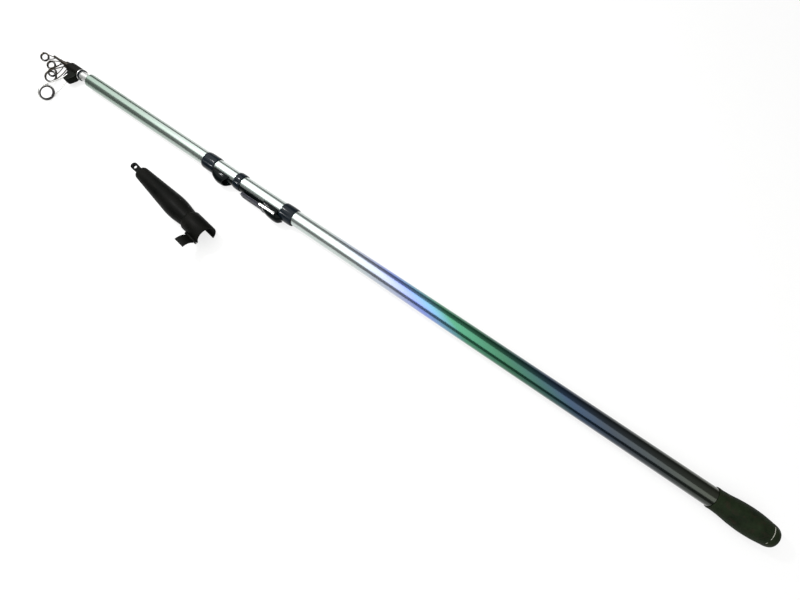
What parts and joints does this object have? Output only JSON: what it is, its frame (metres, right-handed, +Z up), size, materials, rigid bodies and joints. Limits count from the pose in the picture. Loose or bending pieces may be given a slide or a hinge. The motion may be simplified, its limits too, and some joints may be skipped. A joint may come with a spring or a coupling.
{
  "type": "surf rod",
  "caption": "Telescopic surf fishing rod, collapsed, with cam-lever plate reel seat, wire-framed ring guides, screw plug in a rubber butt cap and a loose hinged tip cover.",
  "frame": {"origin": "middle of the butt plug's flat end face", "axes": "+X along the rod towards the butt, -Y towards the guides and the reel seat, +Z up as the rod lies"},
  "size_m": [1.2279, 0.1445, 0.0338],
  "materials": {
    "lacquer": "silver lacquer with a blue-green shimmer",
    "silver": "silver lacquer",
    "black": "moulded, satin black",
    "rubber": "matte, mottled",
    "steel": "polished",
    "grey": "moulded, satin grey",
    "ceramic": "glazed hard ring",
    "brass": "machined"
  },
  "bodies": {
    "butt_section": {"butt_blank": "lacquer", "plug_socket": "brass", "butt_cap": "rubber", "band_front": "black", "band_middle": "black", "band_rear": "black", "seat_plate": "black", "fixed_hood": "black"},
    "gasket": {"plug_gasket": "rubber"},
    "plug": {"butt_plug": "black", "plug_cushion": "rubber"},
    "slider": {"sliding_hood": "black"},
    "lever": {"cam_shaft": "steel", "lever_frame": "steel", "lever_grip": "grey"},
    "section_2": {"section_2_blank": "silver", "large_guide_frame": "steel", "large_guide_insert": "ceramic", "section_2_wrap": "black", "section_2_trim_ring": "steel", "section_2_edge_ring": "black", "large_guide_foot": "black"},
    "section_3": {"section_3_blank": "silver", "middle_guide_frame": "steel", "middle_guide_insert": "ceramic", "section_3_wrap": "black"},
    "float_guide_rear": {"float_guide_rear_frame": "steel", "float_guide_rear_insert": "ceramic"},
    "float_guide_front": {"float_guide_front_frame": "steel", "float_guide_front_insert": "ceramic"},
    "tip_section": {"tip_blank": "silver", "tip_top_frame": "steel", "tip_top_insert": "ceramic"},
    "tip_cover": {"cover_shell": "black", "clasp_pin": "steel"},
    "clasp": {"cover_clasp": "black"}
  },
  "joints": [
    {"name": "plug_travel", "type": "slide", "parent": "butt_section", "child": "gasket", "axis": [1, 0, 0], "range_m": [0, 0.015]},
    {"name": "plug_turn", "type": "hinge", "parent": "gasket", "child": "plug", "pos_m": [0, 0, 0], "axis": [1, 0, 0], "range_deg": [0, 2160]},
    {"name": "slider_travel", "type": "slide", "parent": "butt_section", "child": "slider", "axis": [-1, 0, 0], "range_m": [0, 0.02]},
    {"name": "lever_swing", "type": "hinge", "parent": "slider", "child": "lever", "pos_m": [-0.7374, -0.0157, 0], "axis": [0, 0, 1], "range_deg": [0, 178]},
    {"name": "section_2_travel", "type": "slide", "parent": "butt_section", "child": "section_2", "axis": [-1, 0, 0], "range_m": [0, 1.016]},
    {"name": "section_3_travel", "type": "slide", "parent": "section_2", "child": "section_3", "axis": [-1, 0, 0], "range_m": [0, 1.071]},
    {"name": "tip_section_travel", "type": "slide", "parent": "section_3", "child": "tip_section", "axis": [-1, 0, 0], "range_m": [0, 1.091]},
    {"name": "float_guide_rear_travel", "type": "slide", "parent": "section_3", "child": "float_guide_rear", "axis": [-1, 0, 0], "range_m": [0, 0.371]},
    {"name": "float_guide_front_travel", "type": "slide", "parent": "section_3", "child": "float_guide_front", "axis": [-1, 0, 0], "range_m": [0, 0.742]},
    {"name": "tip_cover_lift", "type": "slide", "parent": "butt_section", "child": "tip_cover", "axis": [0, 0, 1], "range_m": [0, 0.15]},
    {"name": "clasp_swing", "type": "hinge", "parent": "tip_cover", "child": "clasp", "pos_m": [-0.81014, -0.10972, 0.00276], "axis": [0.9902, -0.1394, -0.0129], "range_deg": [-15, 150]}
  ],
  "couplings": [
    {"joint": "plug_travel", "follows": "plug_turn", "m_per_rad": 0.00039789},
    {"joint": "float_guide_rear_travel", "follows": "tip_section_travel", "ratio": 0.34},
    {"joint": "float_guide_front_travel", "follows": "tip_section_travel", "ratio": 0.68}
  ]
}
